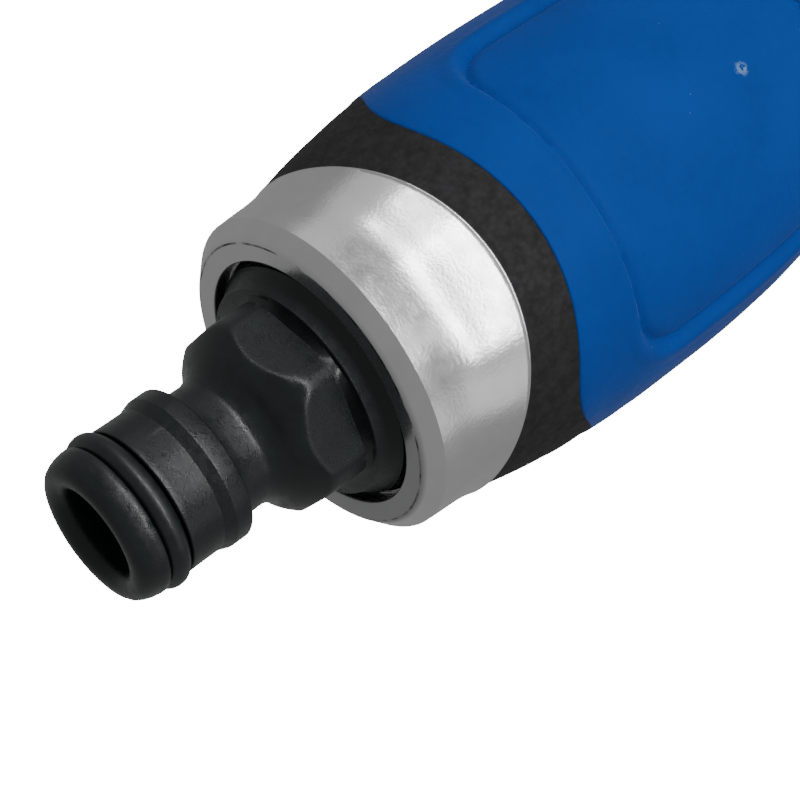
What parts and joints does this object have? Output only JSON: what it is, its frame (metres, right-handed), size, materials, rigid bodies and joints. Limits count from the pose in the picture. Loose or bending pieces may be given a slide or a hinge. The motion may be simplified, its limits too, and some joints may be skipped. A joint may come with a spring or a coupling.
{
  "type": "garden hose spray gun",
  "caption": "Pistol-grip garden hose spray gun with a quick-connect tail, sprung front trigger, flow knob and a rotating turret of spray patterns.",
  "frame": {"origin": "centre of the mouth of the hose tail, on the handle's axis", "axes": "+Y up the handle, from the hose end to the head; +X to the spray side, where the trigger and turret are; +Z across the gun, upwards as it lies on its side"},
  "size_m": [0.1158, 0.1923, 0.052],
  "materials": {
    "black_plastic": "fine matte grain",
    "blue_rubber": "soft matte rubber with fine grain",
    "black_rubber": "matte",
    "satin_silver": "satin with a fine bumpy coat",
    "brass": "turned",
    "stainless_steel": "plain",
    "white_nylon": "plain"
  },
  "bodies": {
    "gun": {"hose_tail": "black_plastic", "tail_o_ring": "black_rubber", "inlet_strainer": "stainless_steel", "inlet_washer": "black_rubber", "end_collar": "satin_silver", "handle_shell": "black_plastic", "grip_sleeve": "blue_rubber", "body_casting": "satin_silver", "index_pin": "white_nylon", "valve_seat": "brass", "chamber_plug": "satin_silver", "plug_o_ring": "black_rubber", "valve_spring": "stainless_steel", "gland_nut": "brass", "gland_o_ring": "black_rubber", "rear_cover": "black_plastic", "cover_screws": "stainless_steel", "trigger_pin": "stainless_steel", "pin_clip": "stainless_steel", "flow_gland": "satin_silver", "outlet_seal": "black_rubber", "seal_spring": "stainless_steel", "detent_ball": "stainless_steel", "detent_spring": "stainless_steel", "pivot_washer": "stainless_steel", "pivot_screw": "stainless_steel"},
    "valve": {"valve_plunger": "brass", "plunger_seal": "black_rubber", "plunger_cap": "white_nylon"},
    "trigger": {"trigger": "satin_silver", "trigger_pad": "blue_rubber"},
    "flow_control": {"flow_plug": "brass", "flow_o_ring": "black_rubber", "flow_knob": "black_plastic", "knob_screw": "stainless_steel"},
    "turret": {"dial_body": "black_plastic", "face_plate": "black_plastic", "nozzle_inserts": "brass", "dial_grip_ring": "blue_rubber", "face_bezel": "satin_silver"}
  },
  "joints": [
    {"name": "trigger_pull", "type": "hinge", "parent": "gun", "child": "trigger", "pos_m": [0.031, 0.135, 0], "axis": [0, 0, -1], "range_deg": [0, 12], "stiffness_Nm_per_rad": 0.8, "springref_deg": -11.46},
    {"name": "plunger_slide", "type": "slide", "parent": "gun", "child": "valve", "axis": [-1, 0, 0], "range_m": [0, 0.0044], "deforming": ["valve_spring"]},
    {"name": "flow_turn", "type": "hinge", "parent": "gun", "child": "flow_control", "pos_m": [0, 0.15, 0], "axis": [0.9659, 0.2588, 0], "range_deg": [0, 90]},
    {"name": "turret_turn", "type": "hinge", "parent": "gun", "child": "turret", "pos_m": [0, 0.15, 0], "axis": [0.9659, 0.2588, 0], "continuous": true}
  ],
  "couplings": [
    {"joint": "plunger_slide", "follows": "trigger_pull", "m_per_rad": 0.0205}
  ]
}
